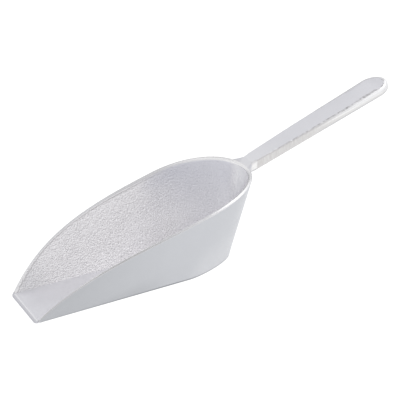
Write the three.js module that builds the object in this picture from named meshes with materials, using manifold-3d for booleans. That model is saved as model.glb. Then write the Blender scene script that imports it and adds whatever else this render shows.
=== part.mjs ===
// Cast aluminium ice scoop: a flat floor with a sharp front lip, two side walls that rise and flare
// towards the back, a rounded back wall, and a flat handle that rises from a flared neck on the back rim.
// The real scoop is one casting. It is divided here where its form changes: floor, left and right side
// walls, back wall, neck and grip, with a narrow seam between neighbours.
//
// Millimetres, +Z up. The shape is drawn with x measured back from the lip, y to the right-hand side as
// seen from the front, and z up from the underside of the floor. The finished group is centred in x.
import * as THREE from "three";
import { mergeVertices } from "three/addons/utils/BufferGeometryUtils.js";
import Module from "manifold-3d";

const wasm = await Module();
wasm.setup();

// ---- driving dimensions ----
const SEAM = 0.3;

const FLOOR_HALF_WIDTH = 19.8;
const FLOOR_STRAIGHT = 111.3;
const FLOOR_LENGTH = 153.5;
const FLOOR_SIDE_PULL = 12.9;
const FLOOR_END_PULL = 8.7;
const FLOOR_THICKNESS = 1.6;
const FOOT_START_X = 1.9;
const LIP_CORNER_RADIUS = 2.3;
const LIP_EDGE_THICKNESS = 1.0;

const RIM_START = new THREE.Vector3(2.0, 20.8, FLOOR_THICKNESS);
const RIM_RISE = new THREE.Vector3(29.4, 33.9, 33.3);
const RIM_WIDEST = new THREE.Vector3(114.8, 39.4, 54.8);
const RIM_SLOPE = 0.27;
const RIM_FRONT_PULL = 46.4;
const RIM_BACK_PULL = 27.0;
const RIM_END_PULL = 24.8;
const RIM_END_X = 165.7;
const RIM_HEIGHT = 64.9;
const WALL_THICKNESS = 1.6;
const RIM_THICKNESS_AT_FRONT = 1.3;
const RIM_THICKNESS_AT_BACK = 2.5;
const WALL_START_SHARE = 0.02;
const WALL_BOW = 0.5;
const BOW_BEGINS_AT_HEIGHT = 20;
const BOW_FULL_AT_HEIGHT = 60;
const STEEPEST_RIM_TILT = 0.5;

const HANDLE_RISE = THREE.MathUtils.degToRad(19);
const HANDLE_START = new THREE.Vector3(168.3, 0, 68.1);
const HANDLE_LENGTH = 117.6;
const HANDLE_HALF_WIDTH_AT_NECK = 6.3;
const HANDLE_HALF_WIDTH_AT_TIP = 11.4;
const HANDLE_THICKNESS_AT_NECK = 6.8;
const HANDLE_THICKNESS_AT_TIP = 4.7;
const HANDLE_TIP_LENGTH = 12.4;
const TOP_EDGE_RADIUS_AT_NECK = 0.8;
const TOP_EDGE_RADIUS_AT_TIP = 2.7;
const LOWER_EDGE_RADIUS_AT_NECK = 1.0;
const LOWER_EDGE_RADIUS_AT_TIP = 1.6;
const LARGEST_EDGE_SHARE = 0.8;

const NECK_LENGTH = 9;
const NECK_ROOT_AT_RIM = 12.5;
const NECK_ROOT_BELOW = 6.8;
const NECK_ROOT_DEPTH = 5.4;
const NECK_LEAVE_PULL = 3;
const NECK_SIDE_PULL = 8;
const NECK_SINK = 3;
const KEEP_OUT_HEIGHTS = [0.7, 0.85, 1, 1.3];

// Where an outline comes to a point on the centre plane, it is closed by a chord of this half width.
const CLOSING_HALF_WIDTH = 0.2;

const ALONG_SIDE_WALL = 26;
const ALONG_BACK_WALL = 18;
const UP_WALL = 5;
const LIP_CORNER_STEPS = 5;
const ALONG_STRAIGHT_GRIP = 6;
const ALONG_TIP = 12;
const LAST_TIP_SHARE = 0.985;
const ALONG_NECK = 8;
const ACROSS_HANDLE = 6;
const EDGE_STEPS = 2;
const HALVINGS = 30;

// ---- guide curves ----
const { clamp, lerp, smoothstep } = THREE.MathUtils;
const vec = (x, y, z) => new THREE.Vector3(x, y, z);
const slopeStep = (length) => vec(length, 0, length * RIM_SLOPE);
const mirrored = (p) => vec(p.x, -p.y, p.z);

// Outer top edge of the right-hand wall, from the lip to the widest point and on to the middle of the back.
const rimFront = new THREE.CubicBezierCurve3(
  RIM_START,
  RIM_RISE,
  RIM_WIDEST.clone().sub(slopeStep(RIM_FRONT_PULL)),
  RIM_WIDEST,
);
const rimBack = new THREE.CubicBezierCurve3(
  RIM_WIDEST,
  RIM_WIDEST.clone().add(slopeStep(RIM_BACK_PULL)),
  vec(RIM_END_X, RIM_END_PULL, RIM_HEIGHT),
  vec(RIM_END_X, 0, RIM_HEIGHT),
);

// Outline of the underside on the same side: a straight run, then the rounded back.
const footFront = new THREE.LineCurve3(
  vec(FOOT_START_X, FLOOR_HALF_WIDTH, 0),
  vec(FLOOR_STRAIGHT, FLOOR_HALF_WIDTH, 0),
);
const footBack = new THREE.CubicBezierCurve3(
  vec(FLOOR_STRAIGHT, FLOOR_HALF_WIDTH, 0),
  vec(FLOOR_STRAIGHT + FLOOR_SIDE_PULL, FLOOR_HALF_WIDTH, 0),
  vec(FLOOR_LENGTH, FLOOR_END_PULL, 0),
  vec(FLOOR_LENGTH, 0, 0),
);

// The horizontal direction out of the bowl at a point of a guide curve.
function outward(curve, t) {
  const along = curve.getTangent(t);
  return vec(-along.y, along.x, 0).normalize();
}

// A point of the bowl's outer face, a share of the way up from the foot to the rim. Tall walls bow out.
function outerPoint(foot, rim, t, share) {
  const top = rim.getPoint(t);
  const tall = smoothstep(top.z, BOW_BEGINS_AT_HEIGHT, BOW_FULL_AT_HEIGHT);
  const bow = WALL_BOW * tall * Math.max(0, 4 * share * (1 - share));
  return foot.getPoint(t).lerp(top, share).addScaledVector(outward(rim, t), bow);
}

// ---- solids ----
// A closed body through rings of points: every ring has as many points, and the end rings are capped.
function loft(rings) {
  const count = rings[0].length;
  const points = rings.flat();
  const faces = [];
  for (let r = 0; r + 1 < rings.length; r += 1) {
    for (let i = 0; i < count; i += 1) {
      const a = r * count + i;
      const b = r * count + ((i + 1) % count);
      faces.push(a, b, b + count, a, b + count, a + count);
    }
  }
  const cap = (first, turned) => {
    for (let i = 1; i + 1 < count; i += 1) {
      const pair = turned ? [first + i + 1, first + i] : [first + i, first + i + 1];
      faces.push(first, ...pair);
    }
  };
  cap(0, true);
  cap((rings.length - 1) * count, false);
  const geometry = new THREE.BufferGeometry().setFromPoints(points);
  geometry.setIndex(signedVolume(points, faces) < 0 ? faces.reverse() : faces);
  return geometry;
}

function signedVolume(points, faces) {
  let sum = 0;
  for (let i = 0; i < faces.length; i += 3) {
    const [a, b, c] = faces.slice(i, i + 3).map((k) => points[k]);
    sum += a.dot(b.clone().cross(c));
  }
  return sum / 6;
}

function toSolid(geometry) {
  const plain = geometry.clone();
  plain.deleteAttribute("normal");
  plain.deleteAttribute("uv");
  const merged = mergeVertices(plain);
  return new wasm.Manifold(
    new wasm.Mesh({
      numProp: 3,
      vertProperties: new Float32Array(merged.attributes.position.array),
      triVerts: new Uint32Array(merged.index.array),
    }),
  );
}

function toGeometry(solid) {
  const { vertProperties, triVerts } = solid.getMesh();
  const geometry = new THREE.BufferGeometry();
  geometry.setAttribute("position", new THREE.BufferAttribute(vertProperties, 3));
  geometry.setIndex(new THREE.BufferAttribute(triVerts, 1));
  return geometry;
}

// ---- floor ----
// A section across the floor plate from the outer edges of its under and upper faces.
function floorRing(low, high) {
  const right = [low, high].map((p) => vec(p.x, Math.max(p.y, CLOSING_HALF_WIDTH), p.z));
  return [...right, ...right.map(mirrored).reverse()];
}

// The flat plate under the whole bowl. It thins to an edge at the lip, its lip corners are round, and its
// sides lean out with the walls that stand on them.
function floorGeometry() {
  const rings = [];
  const lean = RIM_START.y - FLOOR_HALF_WIDTH;
  for (let i = 0; i < LIP_CORNER_STEPS; i += 1) {
    const turn = ((Math.PI / 2) * i) / LIP_CORNER_STEPS;
    const x = LIP_CORNER_RADIUS * (1 - Math.cos(turn));
    const y = FLOOR_HALF_WIDTH - LIP_CORNER_RADIUS * (1 - Math.sin(turn));
    const height = lerp(LIP_EDGE_THICKNESS, FLOOR_THICKNESS, x / LIP_CORNER_RADIUS);
    rings.push(floorRing(vec(x, y, 0), vec(x, y + lean * Math.sin(turn) ** 2, height)));
  }
  const runs = [
    [footFront, rimFront, ALONG_SIDE_WALL],
    [footBack, rimBack, ALONG_BACK_WALL],
  ];
  for (const [foot, rim, steps] of runs) {
    const first = foot === footFront ? 0 : 1;
    for (let i = first; i <= steps; i += 1) {
      const t = i / steps;
      const low = foot.getPoint(t);
      const high = low.clone().lerp(rim.getPoint(t), FLOOR_THICKNESS / rim.getPoint(t).z);
      rings.push(floorRing(low, high));
    }
  }
  return loft(rings);
}

// ---- walls ----
// One cross-section of the wall, standing on the line from a foot point to a rim point. The wall starts
// a seam above the floor plate, its thickness changes from the foot to the rim, and its top face is square
// to it.
function wallRing(foot, rim, t, rimThickness) {
  const outerFoot = foot.getPoint(t);
  const outerRim = rim.getPoint(t);
  const flare = Math.hypot(outerRim.x - outerFoot.x, outerRim.y - outerFoot.y) / outerRim.z;
  const innerFoot = outerFoot.clone().addScaledVector(outward(foot, t), -WALL_THICKNESS);
  const innerRim = outerRim.clone().addScaledVector(outward(rim, t), -rimThickness);
  innerRim.z += Math.min(flare, STEEPEST_RIM_TILT) * rimThickness;
  const start = (FLOOR_THICKNESS + SEAM) / outerRim.z;
  const heights = Array.from({ length: UP_WALL + 1 }, (_, i) => lerp(start, 1, i / UP_WALL));
  const outer = heights.map((h) => outerPoint(foot, rim, t, h));
  const inner = heights.map((h) => innerFoot.clone().lerp(innerRim, h));
  return [...outer, ...inner.reverse()];
}

// The side wall is a wedge that grows from the lip. side is 1 for the right wall and -1 for the left.
function sideWallGeometry(side) {
  const last = 1 - SEAM / FLOOR_STRAIGHT;
  const rings = [];
  for (let i = 0; i <= ALONG_SIDE_WALL; i += 1) {
    const t = lerp(WALL_START_SHARE, last, i / ALONG_SIDE_WALL);
    const ring = wallRing(footFront, rimFront, t, lerp(RIM_THICKNESS_AT_FRONT, RIM_THICKNESS_AT_BACK, t * t));
    rings.push(side > 0 ? ring : ring.map(mirrored));
  }
  return loft(rings);
}

function backWallGeometry() {
  const right = [];
  for (let i = 0; i <= ALONG_BACK_WALL; i += 1) {
    right.push(wallRing(footBack, rimBack, i / ALONG_BACK_WALL, RIM_THICKNESS_AT_BACK));
  }
  const left = right.map((ring) => ring.map(mirrored));
  return loft([...right, ...left.reverse().slice(1)]);
}

// The space inside the back wall's outer face, grown by a seam and carried up past the rim, which the neck
// must not enter.
function keepOutSolid() {
  const rings = [];
  for (let i = 0; i <= ALONG_BACK_WALL; i += 1) {
    const t = i / ALONG_BACK_WALL;
    const right = KEEP_OUT_HEIGHTS.map((share) => {
      const p = outerPoint(footBack, rimBack, t, share).addScaledVector(outward(rimBack, t), SEAM);
      return vec(p.x, Math.max(p.y, CLOSING_HALF_WIDTH), p.z);
    });
    rings.push([...right, ...right.map(mirrored).reverse()]);
  }
  return toSolid(loft(rings));
}

// ---- handle ----
const alongHandle = vec(Math.cos(HANDLE_RISE), 0, Math.sin(HANDLE_RISE));
const downThroughHandle = vec(Math.sin(HANDLE_RISE), 0, -Math.cos(HANDLE_RISE));
const WIDEST_S = HANDLE_LENGTH - HANDLE_TIP_LENGTH;

// A point from its distance s along the handle, y, and its depth below the handle's top face.
function handlePoint(s, y, depth) {
  const onTop = HANDLE_START.clone().addScaledVector(alongHandle, s);
  return onTop.add(vec(0, y, 0)).addScaledVector(downThroughHandle, depth);
}

// Half width at a distance s along the handle. The last stretch closes as half an ellipse.
function handleHalfWidth(s) {
  const grown = clamp(s / WIDEST_S, 0, 1);
  const width = lerp(HANDLE_HALF_WIDTH_AT_NECK, HANDLE_HALF_WIDTH_AT_TIP, grown);
  const past = Math.max(0, s - WIDEST_S) / HANDLE_TIP_LENGTH;
  return width * Math.sqrt(Math.max(0, 1 - past * past));
}

// How far a rounded edge has turned in, at a distance s along the handle, where it goes round the tip.
function tipRounding(s, radius) {
  const into = Math.max(0, radius - (HANDLE_LENGTH - s));
  return radius - Math.sqrt(radius * radius - into * into);
}

// A flat section across the handle with rounded edges, as pairs of y and depth.
function handleSection(s) {
  const share = s / HANDLE_LENGTH;
  const halfWidth = handleHalfWidth(s);
  const topRadius = lerp(TOP_EDGE_RADIUS_AT_NECK, TOP_EDGE_RADIUS_AT_TIP, share);
  const lowerRadius = lerp(LOWER_EDGE_RADIUS_AT_NECK, LOWER_EDGE_RADIUS_AT_TIP, share);
  const thickness = lerp(HANDLE_THICKNESS_AT_NECK, HANDLE_THICKNESS_AT_TIP, share);
  const top = tipRounding(s, topRadius);
  const bottom = thickness - tipRounding(s, lowerRadius);
  const room = LARGEST_EDGE_SHARE * Math.min(halfWidth, (bottom - top) / 2);
  const upper = edgeArc(halfWidth, top, Math.min(topRadius, room), 1);
  const lower = edgeArc(halfWidth, bottom, Math.min(lowerRadius, room), -1).reverse();
  const side = [...upper, ...lower];
  const turned = side.map(([y, depth]) => [-y, depth]).reverse();
  return [...side, ...across(lower.at(-1), turned[0]), ...turned, ...across(turned.at(-1), upper[0])];
}

// The rounded edge between a flat face at that depth and the side. into is 1 when the body is below it.
function edgeArc(halfWidth, faceDepth, radius, into) {
  return Array.from({ length: EDGE_STEPS + 1 }, (_, i) => {
    const angle = ((Math.PI / 2) * i) / EDGE_STEPS;
    const y = halfWidth - radius + radius * Math.sin(angle);
    return [y, faceDepth + into * radius * (1 - Math.cos(angle))];
  });
}

// Points between two points of a section, without either of them.
function across(from, to) {
  return Array.from({ length: ACROSS_HANDLE - 1 }, (_, i) => {
    const share = (i + 1) / ACROSS_HANDLE;
    return [lerp(from[0], to[0], share), lerp(from[1], to[1], share)];
  });
}

function handleRing(s) {
  return handleSection(s).map(([y, depth]) => handlePoint(s, y, depth));
}

function gripGeometry() {
  const stations = [];
  for (let i = 0; i <= ALONG_STRAIGHT_GRIP; i += 1) {
    stations.push(lerp(NECK_LENGTH + SEAM, WIDEST_S, i / ALONG_STRAIGHT_GRIP));
  }
  for (let i = 1; i <= ALONG_TIP; i += 1) {
    const turn = ((Math.PI / 2) * i * LAST_TIP_SHARE) / ALONG_TIP;
    stations.push(WIDEST_S + HANDLE_TIP_LENGTH * Math.sin(turn));
  }
  return loft(stations.map(handleRing));
}

// The share of the way round the back rim at which it is that far from the centre plane.
function rimShareAt(y) {
  let low = 0;
  let high = 1;
  for (let i = 0; i < HALVINGS; i += 1) {
    const middle = (low + high) / 2;
    if (rimBack.getPoint(middle).y > y) low = middle;
    else high = middle;
  }
  return high;
}

// Where a point of the handle's first section meets the back wall, and the horizontal direction out there.
function neckRoot(y, depth) {
  const sideways = Math.abs(y) / HANDLE_HALF_WIDTH_AT_NECK;
  const drop = depth / HANDLE_THICKNESS_AT_NECK;
  const t = rimShareAt(sideways * lerp(NECK_ROOT_AT_RIM, NECK_ROOT_BELOW, smoothstep(drop, 0, 1)));
  const share = 1 - (NECK_ROOT_DEPTH * drop) / RIM_HEIGHT;
  return { at: outerPoint(footBack, rimBack, t, share), out: outward(rimBack, t), sideways };
}

// The neck: the handle's section carried down to the back wall and blended out to a wide root on it, with
// a fillet that runs along the rim on both sides.
function neckGeometry() {
  const section = handleSection(0);
  const rings = [handleRing(NECK_LENGTH), handleRing(0)];
  for (let i = 1; i <= ALONG_NECK; i += 1) {
    const u = i / ALONG_NECK;
    rings.push(section.map(([y, depth]) => neckPoint(y, depth, u)));
  }
  rings.push(section.map(([y, depth]) => neckPoint(y, depth, 1, NECK_SINK)));
  return toGeometry(toSolid(loft(rings)).subtract(keepOutSolid()));
}

// A point of the blend from the handle's first section, u = 0, to the root, u = 1, sunk into the wall.
function neckPoint(y, depth, u, sink = 0) {
  const side = Math.sign(y);
  const root = neckRoot(y, depth);
  const alongWall = vec(-root.out.y, root.out.x, 0);
  const arrive = alongWall.multiplyScalar(NECK_SIDE_PULL * root.sideways).sub(root.out);
  const end = root.at.addScaledVector(root.out, -sink);
  if (side < 0) {
    end.y *= -1;
    arrive.y *= -1;
  }
  return handlePoint(0, y, depth)
    .lerp(end, u * u * (3 - 2 * u))
    .addScaledVector(alongHandle, -NECK_LEAVE_PULL * u * (1 - u) ** 2)
    .addScaledVector(arrive, u * u * (u - 1));
}

// ---- assembly ----
function castAluminium(shade, roughness) {
  return new THREE.MeshStandardMaterial({ color: shade, roughness, metalness: 1 });
}

const pieces = {
  bowl_floor: [floorGeometry(), castAluminium(0xc4c5cc, 0.38)],
  left_side_wall: [sideWallGeometry(-1), castAluminium(0xc6c8cb, 0.45)],
  right_side_wall: [sideWallGeometry(1), castAluminium(0xc6c8cb, 0.45)],
  back_wall: [backWallGeometry(), castAluminium(0xc2c3c9, 0.45)],
  handle_neck: [neckGeometry(), castAluminium(0xd0d0d5, 0.35)],
  handle_grip: [gripGeometry(), castAluminium(0xccccd2, 0.35)],
};

const scoop = new THREE.Group();
for (const [name, [geometry, material]] of Object.entries(pieces)) {
  const mesh = new THREE.Mesh(geometry, material);
  mesh.name = name;
  scoop.add(mesh);
}
const box = new THREE.Box3().setFromObject(scoop);
scoop.position.x = -(box.min.x + box.max.x) / 2;

export default scoop;
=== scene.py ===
"""Looks of the cast aluminium ice scoop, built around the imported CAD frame.

Lengths in the shape code are millimetres, with x measured back from the lip, y to the right-hand side
and z up from the underside of the floor. to_frame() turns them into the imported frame, in metres.
Guide curves are Bezier curves, with t from 0 to 1 along them. A pull says how strongly a curve keeps
to its direction at one end, and a share is a number from 0 to 1.
"""

import math

import bmesh
import bpy
import numpy as np
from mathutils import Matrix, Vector, noise


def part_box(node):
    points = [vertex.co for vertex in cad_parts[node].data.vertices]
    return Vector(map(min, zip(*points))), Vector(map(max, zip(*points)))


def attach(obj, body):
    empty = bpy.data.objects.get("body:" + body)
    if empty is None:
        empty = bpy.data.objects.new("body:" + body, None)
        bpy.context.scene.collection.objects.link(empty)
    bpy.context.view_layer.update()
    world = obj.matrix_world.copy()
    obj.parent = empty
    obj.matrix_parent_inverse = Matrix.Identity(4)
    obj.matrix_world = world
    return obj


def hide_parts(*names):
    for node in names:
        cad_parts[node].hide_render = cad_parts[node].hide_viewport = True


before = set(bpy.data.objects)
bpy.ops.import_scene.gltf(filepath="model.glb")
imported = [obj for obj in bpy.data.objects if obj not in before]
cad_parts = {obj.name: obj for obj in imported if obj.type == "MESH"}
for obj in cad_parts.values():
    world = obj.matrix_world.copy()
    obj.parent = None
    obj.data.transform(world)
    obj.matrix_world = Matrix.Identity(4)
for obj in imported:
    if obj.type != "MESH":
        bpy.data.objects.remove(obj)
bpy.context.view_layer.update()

MM = 0.001
LIP_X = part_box("bowl_floor")[0].x / MM

# ---- the floor, millimetres ----
FLOOR_HALF_WIDTH = 19.8
FLOOR_STRAIGHT = 111.3
FLOOR_LENGTH = 153.5
FLOOR_SIDE_PULL = 12.9
FLOOR_END_PULL = 8.7
FLOOR_THICKNESS = 1.6
FOOT_START_X = 1.9
SPINE_INSET = 6.0

LIP_CORNER_RADIUS = 2.3
LIP_BEVEL_START = 0.5
LIP_BEVEL_END = 2.4
LIP_EDGE_THICKNESS = 1.0
LIP_NOSE_RADIUS = 0.5
UNDER_EDGE_RADIUS = 0.45
HIDDEN_EDGE_RADIUS = 0.03
BORDER_WIDTH = 3.2
BORDER_SETTLES_X = (20, 60)

# ---- the walls and their rim ----
RIM_START = (2.0, 20.8, 1.6)
RIM_RISE = (29.4, 33.9, 33.3)
RIM_WIDEST = (114.8, 39.4, 54.8)
RIM_SLOPE = 0.27
RIM_FRONT_PULL = 46.4
RIM_BACK_PULL = 27.0
RIM_END_PULL = 24.8
RIM_END_X = 165.7
RIM_HEIGHT = 64.9
RIM_THICKNESS_AT_FRONT = 1.3
RIM_THICKNESS_AT_BACK = 2.5
OUTER_RIM_RADIUS = 0.35
INNER_RIM_RADIUS_FRONT = 0.35
INNER_RIM_RADIUS_BACK = 1.6
LARGEST_RADIUS_SHARE = 0.45
STEEPEST_RIM_TILT = 0.5
TILT_GROWS_AT_HEIGHTS = (0, 6)
WALL_THICKNESS = 1.6
WALL_FIRST_T = 0.003
WALL_SINK = 0.05
WALL_BULGE = 0.5
BULGE_GROWS_AT_HEIGHTS = (20, 60)

# ---- the cast grain ----
PEBBLE_CELL = 0.9
PEBBLE_FINE_CELL = 0.55
PEBBLE_FINE_OFFSET = 17.0
PEBBLE_COARSE_WEIGHT = 1.5
PEBBLE_FINE_WEIGHT = 0.8
PEBBLE_HEIGHT = 0.2
PEBBLE_SHARE_AT_BACK = 0.55
PEBBLE_EASES_FROM_T = 0.7
PEBBLE_EASED_BY_T = 0.4
PEBBLE_GROWS_AT_HEIGHTS = (0.2, 1.2)
SMOOTH_SHARE_AT_RIM = 0.02
SMOOTH_SHARE_AT_FLOOR = 0.01
# The grain's hollows are darkened: partly dirt in the pits, partly painted shade.
PIT_LEVEL = 0.5
PIT_CONTRAST = 0.45

# ---- the handle ----
HANDLE_RISE = math.radians(19)
HANDLE_START = (168.3, 0.0, 68.1)
HANDLE_LENGTH = 117.6
HANDLE_HALF_WIDTH_AT_NECK = 6.3
HANDLE_HALF_WIDTH_AT_TIP = 11.4
HANDLE_THICKNESS_AT_NECK = 6.8
HANDLE_THICKNESS_AT_TIP = 4.7
HANDLE_TIP_LENGTH = 12.4
HANDLE_BORDER_WIDTH = 1.0
TOP_EDGE_RADIUS_AT_NECK = 0.8
TOP_EDGE_RADIUS_AT_TIP = 2.7
TOP_EDGE_GROWS = (0.25, 0.95)
LOWER_EDGE_RADIUS_AT_NECK = 1.0
LOWER_EDGE_RADIUS_AT_TIP = 1.6

# Grinding marks on the handle's upper edge: their depth, pitch and reach.
GRIND_SCALLOP = 0.16
GRIND_PITCH = 2.3
GRIND_EDGE = (-1.6, -0.2)
GRIND_ALONG = (11, 17, 45, 75)
GRIND_ON_RIGHT_SIDE = 0.2
GRIND_CONTRAST = 2.0
GRIND_DEEPEST = 1.4
GRIND_ROW_OFFSET = 3.0
GRINDING_STARTS = (2.7, 3.1)

# ---- the neck ----
NECK_LENGTH = 9.0
NECK_EDGE_RADIUS = 1.4
NECK_ROOT_RIGHT = 14.5
NECK_ROOT_LEFT = 10.5
NECK_ROOT_BELOW = 6.8
NECK_ROOT_DEPTH = 5.4
NECK_ROOT_NARROWS = (0.1, 0.9)
NECK_OVER_RIM = 0.6
NECK_SINK = 0.5
NECK_LEAVE_PULL = 3.0
NECK_SIDE_PULL = 8.0
NECK_UNDER_PULL = 1.5
NECK_TOP_PULL = 2.0
NECK_TOP_SLOPE = 0.4
NECK_TOP_DROP = (0.12, 0.0)
NECK_UNDER_DROP = (0.8, 1.0)
NECK_BESIDE = (0.6, 1.0)
RIM_FACE_TILT = 0.19

# ---- where the tones lie, most of them painted light and painted shade, as within() reads it ----
# On the walls x runs back from the lip, y to the right, depth down the inner face from the rim and
# past_band from the end of the rim's bright band, in millimetres. down is a share of the way to the floor.
WALL_FRONT = {"x": (32, 12)}
BACK_MIDDLE = {"y": (14, 2)}
BACK_MIDDLE_LOWER = {"share": 0.7, "down": (0.15, 0.45), "y": (-9, -3)}
# Painted light at the back end of the bowl's inner face, except on the right.
BACK_END = {"x": (148, 160)}
# Painted light that eases the outer face's darker tint low at the back and high at the very back.
OUTSIDE_LIGHTER_LOW = {"share": 0.1, "x": (105, 120), "down": (0.4, 0.9)}
OUTSIDE_LIGHTER_HIGH = {"share": 0.1, "x": (130, 150), "down": (0.5, 0.2)}
OUTSIDE_SHADE = {"x": (112, 8)}
OUTSIDE_SHADE_EASES = {"share": 0.15, "down": (0.1, 0.5)}
OUTSIDE_SHADE_LOW = {"share": 0.75, "x": (102, 70), "down": (0.5, 0.95)}
INSIDE_SHADE = {"share": 0.1, "x": (100, 5)}
INSIDE_SHADE_AT_FRONT = 0.19
# Painted shade deep in the back of the bowl, eased at the very back, in the middle and lower down, and more
# just under the rim.
DEEP = {"share": 0.8, "x": (97, 131)}
DEEP_EASES_AT_BACK = {"share": 0.5, "x": (152, 163)}
DEEP_EASES_IN_MIDDLE = {"x": (125, 145)}
DEEP_EASES_LOWER = {"down": (0.05, 0.65)}
DEEP_EASING = (0.9, 0.4)
DEEP_EASING_CHANGES = {"x": (110, 150)}
UNDER_RIM = {"share": 0.25, "depth": (14, 4), "x": (98, 112, 116, 130)}
# Painted shade on the inner face just under the rim at the back, except on the left.
SHOULDER = {"share": 0.9, "x": (148, 163), "y": (-10, -4), "depth": (6, 0.5)}
# Painted light: lower down the walls, back from the front, the darkened hollows are lightened.
PITS_LIGHTENED = {"share": 0.65, "x": (20, 80)}
PITS_LIGHTENED_BELOW = (0.5, 0.2)
PITS_LIGHTENED_CHANGES = {"x": (78, 100)}
PITS_LIGHTENED_OVER = 0.4

# The rim's bright band carries a painted highlight; below it lies the crease.
BRIGHT_BAND_WIDTH = (0.3, 1.3)
BRIGHT_BAND = {"past_band": (0.2, -0.2)}
RIM_LEFT_HALF = {"y": (-4, -14)}
# Painted highlights on the rim at the back, the front and the left.
BRIGHT_BACK = {"x": (115, 142)}
BRIGHT_BACK_EASES = {"share": 0.6, "x": (156, 164)}
BRIGHT_BACK_BELOW = {"share": 0.5, "depth": (0.6, 0.2)}
BRIGHT_FRONT = {"share": 0.5, "x": (118, 88)}
BRIGHT_LEFT_INNER = {"share": 0.6, "x": (25, 45, 70, 95)}
BRIGHT_LEFT_BACK = {"share": 0.5, "x": (105, 128)}
BRIGHT_LEFT_DULLER = {"share": 0.9, "x": (130, 138, 148, 156)}
# Painted shade in the crease under the rim's band and along the rim's edges.
CREASE = {"past_band": (0, 0.4, 0.7, 1.3), "x": (125, 95)}
CREASE_SHARES = (0.55, 0.6)
DARK_EVERYWHERE = 0.1
DARK_RIGHT = {"share": 0.25, "x": (70, 90, 112, 122)}
DARK_LEFT_OUTER = {"x": (125, 80)}
DARK_LEFT_SHARES = (0.7, 0.55)
DARK_LEFT_CHANGES = {"x": (20, 40)}
DARK_LEFT_INNER = {"share": 0.5, "x": (122, 130, 146, 154)}

# On the floor x and y are the same, z is the height and edge the distance in from the lip's edge.
LIP_ZONE = {"x": (4.0, 3.0)}
# Painted shade on the floor's outer side below its top, eased towards the back.
FLOOR_BELOW_TOP = {"z": (FLOOR_THICKNESS, FLOOR_THICKNESS - 0.05)}
FLOOR_OUTSIDE_EASES = {"share": 0.35, "x": (95, 130)}
FLOOR_SHADE = {"x": (100, 5)}
# Painted light on the floor beside the right wall, near the lip.
WALL_SIDE = {"x": (3, 5), "y": (2, 14)}
WALL_SIDE_EASES = {"share": 0.45, "x": (12, 28)}
# A painted highlight line along the lip's bevel, and painted shade on its rounded front.
LIP_LINE = {"edge": (1.6, 2.0, 2.3, 2.7)}
LIP_FRONT = {"edge": (1.9, 1.5)}
LIP_FRONT_EASES = {"share": 0.6, "edge": (0.3, 0.9)}

# On the handle s runs along it, y to the right, up from its top face, above from its underside and
# outside from the line where its upper edge starts to turn over, and x back from the lip.
HANDLE_SIDE = {"outside": (0.1, 0.6)}
# Painted highlight on the neck's side face next to the bowl.
FACET_STARTS = {"x": (166.9, 167.5)}
FACET_ENDS = {"x": (171.4, 171.6)}
TURNED_OVER = {"outside": (0.7, 1.4)}
TURNED_OVER_EASES = {"share": 0.85, "up": (-1.4, -2.6)}
# Painted light on the neck near the bowl, away from its side faces.
ROOT_EASES = {"share": 0.4, "s": (-1, 3)}
ROOT_ENDS = {"share": 0.6, "s": (5, 30)}
# Painted shade on the handle, growing towards the tip.
TIP_SHADE_ALONG = {"share": 0.5, "s": (30, 100)}
TIP_SHADE_AT_TIP = {"share": 0.5, "s": (103, 112)}
GROUND = {"s": (85, 25)}
# The turned-over upper edge is polished and carries a painted highlight.
POLISH_AND_HIGHLIGHT = {"s": (35, 95)}
POLISH_AND_HIGHLIGHT_EASES_RIGHT = {"share": 0.7, "y": (-4, 1)}
# Painted shade on the handle's lower edge.
LOW_EDGE = {"above": (2.0, 1.2)}
LOW_EDGE_ALONG = {"s": (40, 70)}
EDGE_LINE_STARTS = (-0.8, -1.7)
EDGE_LINE_WIDENS = {"s": (80, 98, 102, 106)}
EDGE_LINE_ENDS = (0.2, 0.7)
EDGE_LINE_GROWS = {"s": (50, 80)}
EDGE_LINE_FADES = (0.6, 0.5)
EDGE_LINE_ABOVE = {"up": (-1.2, -0.4)}
EDGE_LINE_ON_RIGHT = 0.25
# Painted shade along the upper edge towards the tip; the broken line nearer the neck is the dark cast flash.
SOFT_EDGE = {"s": (50, 80)}
BROKEN_EDGE = {"s": (18, 32)}
BROKEN_EDGE_EASES = {"share": 0.4, "s": (60, 50)}

# ---- mesh resolution ----
SIDE_STATIONS = 380
BACK_STATIONS = 200
LIP_STATIONS = 20
LIP_CORNER_STATIONS = 8
GRIP_STATIONS = 260
TIP_STATIONS = 49
NECK_STATIONS = 46
BLEND_STATIONS = 25
RIM_SAMPLES = 800
OUTER_ROWS = 12
INNER_ROWS = 150
ARC_ROWS = 4
FACE_ROWS = 6
BORDER_ROWS = 9
FLOOR_ROWS = 10
GRIP_ROWS = 6
SIDE_ROWS = 5
ROWS_TO_INNER_FACE = OUTER_ROWS + 2 * (ARC_ROWS + 1) + FACE_ROWS - 1
ROWS_OF_OUTER_EDGE = ARC_ROWS + 2
SHARP_ANGLE = math.radians(38)
WELD_DISTANCE = 0.002
TANGENT_STEP = 1e-4
TINY = 1e-12


# ---- curves ----
def column(values):
    return np.asarray(values, float)[..., None]


def lerp(a, b, share):
    return a + (b - a) * share


def bezier(points, t):
    """Points of the Bezier curve with those control points, at an array of t."""
    rows = [np.asarray(p, float) * np.ones((len(t), 1)) for p in points]
    while len(rows) > 1:
        rows = [lerp(a, b, column(t)) for a, b in zip(rows, rows[1:])]
    return rows[0]


def unit(vectors):
    return vectors / np.linalg.norm(vectors, axis=-1, keepdims=True)


def smooth(values, zero, one):
    """A share that is 0 at the first value and beyond it, 1 at the second, and smooth in between."""
    share = np.clip((np.asarray(values, float) - zero) / (one - zero), 0, 1)
    return share * share * (3 - 2 * share)


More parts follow.
